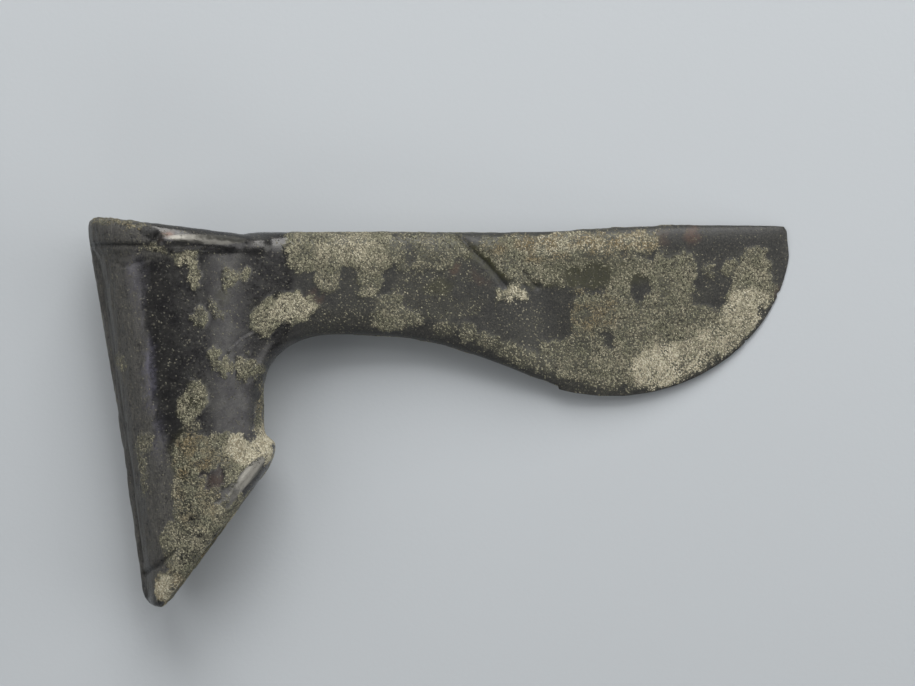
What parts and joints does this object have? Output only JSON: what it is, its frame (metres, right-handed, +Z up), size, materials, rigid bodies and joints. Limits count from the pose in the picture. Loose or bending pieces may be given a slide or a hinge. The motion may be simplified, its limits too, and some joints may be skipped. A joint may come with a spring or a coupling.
{
  "type": "bronze axe head",
  "caption": "Cast bronze axe head with a tapering oval haft socket cut aslant below, a collar above, a narrow neck and a half-moon blade.",
  "frame": {"origin": "centre of the bounding box's underside, on the surface that the axe head lies on", "axes": "+X along the blade from the socket to the cutting edge, +Y along the haft towards the collar, +Z up through the blade's thickness"},
  "size_m": [0.1646, 0.0918, 0.0301],
  "materials": {
    "patinated_bronze": "dark smooth patina with patches of pale granular crust"
  },
  "bodies": {
    "root": {"axe_head": "patinated_bronze"}
  },
  "joints": []
}
